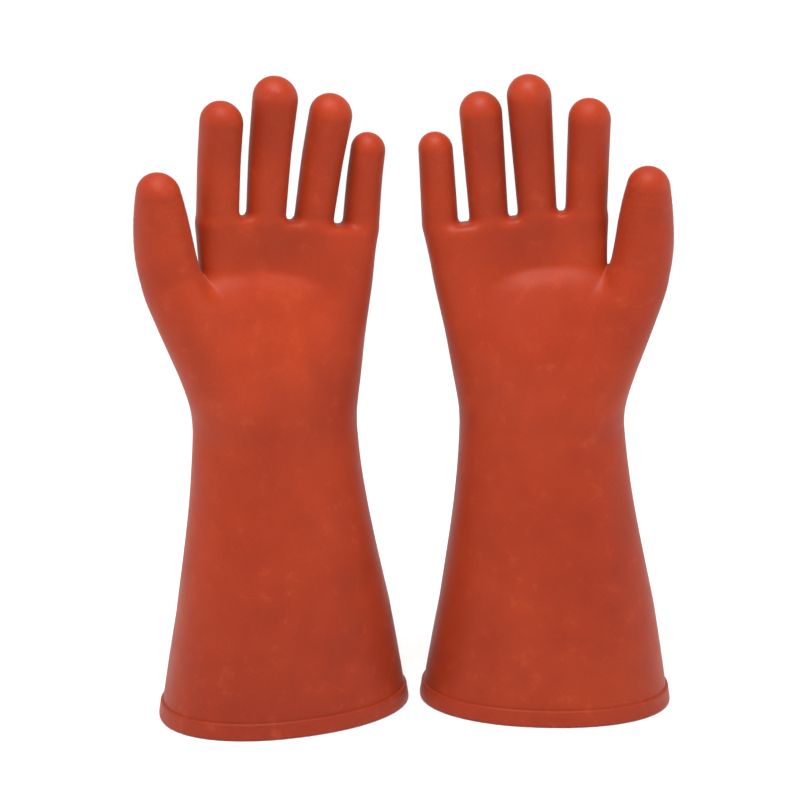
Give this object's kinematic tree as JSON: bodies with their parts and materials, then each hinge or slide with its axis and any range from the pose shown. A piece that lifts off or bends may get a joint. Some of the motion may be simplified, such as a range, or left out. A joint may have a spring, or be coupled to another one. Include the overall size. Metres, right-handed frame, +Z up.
{
  "type": "insulating rubber gloves",
  "caption": "Pair of thick dipped rubber insulating gloves with long flared gauntlets and reinforced cuffs, standing upright on their cuff rims.",
  "frame": {"origin": "middle of the pair at the level of the two cuff rims", "axes": "+Z up from the cuffs to the fingertips, -Y the side the palms face, left glove on the -X side"},
  "size_m": [0.2968, 0.1254, 0.3599],
  "materials": {
    "glove_rubber": "satin",
    "cuff_rubber": "satin"
  },
  "bodies": {
    "left_glove": {"left_gauntlet": "glove_rubber", "left_cuff_band": "cuff_rubber", "left_wrist_flex": "glove_rubber"},
    "left_hand": {"left_palm": "glove_rubber", "left_thumb_base_flex": "glove_rubber", "left_index_base_flex": "glove_rubber", "left_middle_base_flex": "glove_rubber", "left_ring_base_flex": "glove_rubber", "left_little_base_flex": "glove_rubber"},
    "left_thumb_lower": {"left_thumb_proximal": "glove_rubber", "left_thumb_knuckle_flex": "glove_rubber"},
    "left_thumb_end": {"left_thumb_tip": "glove_rubber"},
    "left_index_lower": {"left_index_proximal": "glove_rubber", "left_index_knuckle_flex": "glove_rubber"},
    "left_index_end": {"left_index_tip": "glove_rubber"},
    "left_middle_lower": {"left_middle_proximal": "glove_rubber", "left_middle_knuckle_flex": "glove_rubber"},
    "left_middle_end": {"left_middle_tip": "glove_rubber"},
    "left_ring_lower": {"left_ring_proximal": "glove_rubber", "left_ring_knuckle_flex": "glove_rubber"},
    "left_ring_end": {"left_ring_tip": "glove_rubber"},
    "left_little_lower": {"left_little_proximal": "glove_rubber", "left_little_knuckle_flex": "glove_rubber"},
    "left_little_end": {"left_little_tip": "glove_rubber"},
    "right_glove": {"right_gauntlet": "glove_rubber", "right_cuff_band": "cuff_rubber", "right_wrist_flex": "glove_rubber"},
    "right_hand": {"right_palm": "glove_rubber", "right_thumb_base_flex": "glove_rubber", "right_index_base_flex": "glove_rubber", "right_middle_base_flex": "glove_rubber", "right_ring_base_flex": "glove_rubber", "right_little_base_flex": "glove_rubber"},
    "right_thumb_lower": {"right_thumb_proximal": "glove_rubber", "right_thumb_knuckle_flex": "glove_rubber"},
    "right_thumb_end": {"right_thumb_tip": "glove_rubber"},
    "right_index_lower": {"right_index_proximal": "glove_rubber", "right_index_knuckle_flex": "glove_rubber"},
    "right_index_end": {"right_index_tip": "glove_rubber"},
    "right_middle_lower": {"right_middle_proximal": "glove_rubber", "right_middle_knuckle_flex": "glove_rubber"},
    "right_middle_end": {"right_middle_tip": "glove_rubber"},
    "right_ring_lower": {"right_ring_proximal": "glove_rubber", "right_ring_knuckle_flex": "glove_rubber"},
    "right_ring_end": {"right_ring_tip": "glove_rubber"},
    "right_little_lower": {"right_little_proximal": "glove_rubber", "right_little_knuckle_flex": "glove_rubber"},
    "right_little_end": {"right_little_tip": "glove_rubber"}
  },
  "joints": [
    {"name": "left_wrist", "type": "hinge", "parent": "left_glove", "child": "left_hand", "pos_m": [-0.07976, -0.00215, 0.155], "axis": [0.9455, 0.3256, 0], "range_deg": [-30, 30], "stiffness_Nm_per_rad": 2, "deforming": ["left_wrist_flex"]},
    {"name": "left_thumb_base", "type": "hinge", "parent": "left_hand", "child": "left_thumb_lower", "pos_m": [-0.12876, -0.04783, 0.26198], "axis": [0.9455, 0.3256, 0], "range_deg": [-10, 35], "stiffness_Nm_per_rad": 0.15, "deforming": ["left_thumb_base_flex"]},
    {"name": "left_thumb_knuckle", "type": "hinge", "parent": "left_thumb_lower", "child": "left_thumb_end", "pos_m": [-0.13011, -0.0514, 0.28354], "axis": [0.9455, 0.3256, 0], "range_deg": [0, 50], "stiffness_Nm_per_rad": 0.06, "deforming": ["left_thumb_knuckle_flex"]},
    {"name": "left_index_base", "type": "hinge", "parent": "left_hand", "child": "left_index_lower", "pos_m": [-0.10358, -0.0323, 0.29386], "axis": [0.9455, 0.3256, 0], "range_deg": [-10, 75], "stiffness_Nm_per_rad": 0.1, "deforming": ["left_index_base_flex"]},
    {"name": "left_index_knuckle", "type": "hinge", "parent": "left_index_lower", "child": "left_index_end", "pos_m": [-0.10215, -0.03567, 0.31462], "axis": [0.9455, 0.3256, 0], "range_deg": [0, 75], "stiffness_Nm_per_rad": 0.06, "deforming": ["left_index_knuckle_flex"]},
    {"name": "left_middle_base", "type": "hinge", "parent": "left_hand", "child": "left_middle_lower", "pos_m": [-0.07842, -0.02363, 0.29385], "axis": [0.9455, 0.3256, 0], "range_deg": [-10, 75], "stiffness_Nm_per_rad": 0.1, "deforming": ["left_middle_base_flex"]},
    {"name": "left_middle_knuckle", "type": "hinge", "parent": "left_middle_lower", "child": "left_middle_end", "pos_m": [-0.07605, -0.0276, 0.31948], "axis": [0.9455, 0.3256, 0], "range_deg": [0, 75], "stiffness_Nm_per_rad": 0.06, "deforming": ["left_middle_knuckle_flex"]},
    {"name": "left_ring_base", "type": "hinge", "parent": "left_hand", "child": "left_ring_lower", "pos_m": [-0.05278, -0.01456, 0.29117], "axis": [0.9455, 0.3256, 0], "range_deg": [-10, 75], "stiffness_Nm_per_rad": 0.1, "deforming": ["left_ring_base_flex"]},
    {"name": "left_ring_knuckle", "type": "hinge", "parent": "left_ring_lower", "child": "left_ring_end", "pos_m": [-0.04917, -0.01757, 0.31377], "axis": [0.9455, 0.3256, 0], "range_deg": [0, 75], "stiffness_Nm_per_rad": 0.06, "deforming": ["left_ring_knuckle_flex"]},
    {"name": "left_little_base", "type": "hinge", "parent": "left_hand", "child": "left_little_lower", "pos_m": [-0.02894, -0.00535, 0.28742], "axis": [0.9455, 0.3256, 0], "range_deg": [-10, 75], "stiffness_Nm_per_rad": 0.1, "deforming": ["left_little_base_flex"]},
    {"name": "left_little_knuckle", "type": "hinge", "parent": "left_little_lower", "child": "left_little_end", "pos_m": [-0.02732, -0.00774, 0.30325], "axis": [0.9455, 0.3256, 0], "range_deg": [0, 75], "stiffness_Nm_per_rad": 0.06, "deforming": ["left_little_knuckle_flex"]},
    {"name": "right_wrist", "type": "hinge", "parent": "right_glove", "child": "right_hand", "pos_m": [0.07122, 0.01342, 0.155], "axis": [0.9986, -0.0523, 0], "range_deg": [-30, 30], "stiffness_Nm_per_rad": 2, "deforming": ["right_wrist_flex"]},
    {"name": "right_thumb_base", "type": "hinge", "parent": "right_hand", "child": "right_thumb_lower", "pos_m": [0.1215, -0.01649, 0.26198], "axis": [0.9986, -0.0523, 0], "range_deg": [-10, 35], "stiffness_Nm_per_rad": 0.15, "deforming": ["right_thumb_base_flex"]},
    {"name": "right_thumb_knuckle", "type": "hinge", "parent": "right_thumb_lower", "child": "right_thumb_end", "pos_m": [0.12139, -0.01944, 0.28357], "axis": [0.9986, -0.0523, 0], "range_deg": [0, 50], "stiffness_Nm_per_rad": 0.06, "deforming": ["right_thumb_knuckle_flex"]},
    {"name": "right_index_base", "type": "hinge", "parent": "right_hand", "child": "right_index_lower", "pos_m": [0.09124, -0.00841, 0.29387], "axis": [0.9986, -0.0523, 0], "range_deg": [-10, 75], "stiffness_Nm_per_rad": 0.1, "deforming": ["right_index_base_flex"]},
    {"name": "right_index_knuckle", "type": "hinge", "parent": "right_index_lower", "child": "right_index_end", "pos_m": [0.09102, -0.01206, 0.31464], "axis": [0.9986, -0.0523, 0], "range_deg": [0, 75], "stiffness_Nm_per_rad": 0.06, "deforming": ["right_index_knuckle_flex"]},
    {"name": "right_middle_base", "type": "hinge", "parent": "right_hand", "child": "right_middle_lower", "pos_m": [0.06407, -0.00699, 0.29387], "axis": [0.9986, -0.0523, 0], "range_deg": [-10, 75], "stiffness_Nm_per_rad": 0.1, "deforming": ["right_middle_base_flex"]},
    {"name": "right_middle_knuckle", "type": "hinge", "parent": "right_middle_lower", "child": "right_middle_end", "pos_m": [0.06146, -0.01138, 0.31955], "axis": [0.9986, -0.0523, 0], "range_deg": [0, 75], "stiffness_Nm_per_rad": 0.06, "deforming": ["right_middle_knuckle_flex"]},
    {"name": "right_ring_base", "type": "hinge", "parent": "right_hand", "child": "right_ring_lower", "pos_m": [0.03788, -0.00539, 0.29126], "axis": [0.9986, -0.0523, 0], "range_deg": [-10, 75], "stiffness_Nm_per_rad": 0.1, "deforming": ["right_ring_base_flex"]},
    {"name": "right_ring_knuckle", "type": "hinge", "parent": "right_ring_lower", "child": "right_ring_end", "pos_m": [0.03572, -0.00929, 0.3141], "axis": [0.9986, -0.0523, 0], "range_deg": [0, 75], "stiffness_Nm_per_rad": 0.06, "deforming": ["right_ring_knuckle_flex"]},
    {"name": "right_little_base", "type": "hinge", "parent": "right_hand", "child": "right_little_lower", "pos_m": [0.01234, -0.0031, 0.28745], "axis": [0.9986, -0.0523, 0], "range_deg": [-10, 75], "stiffness_Nm_per_rad": 0.1, "deforming": ["right_little_base_flex"]},
    {"name": "right_little_knuckle", "type": "hinge", "parent": "right_little_lower", "child": "right_little_end", "pos_m": [0.01117, -0.00583, 0.30334], "axis": [0.9986, -0.0523, 0], "range_deg": [0, 75], "stiffness_Nm_per_rad": 0.06, "deforming": ["right_little_knuckle_flex"]},
    {"name": "right_glove_lift", "type": "slide", "parent": "left_glove", "child": "right_glove", "axis": [0, 0, 1], "range_m": [0, 0.4]}
  ]
}
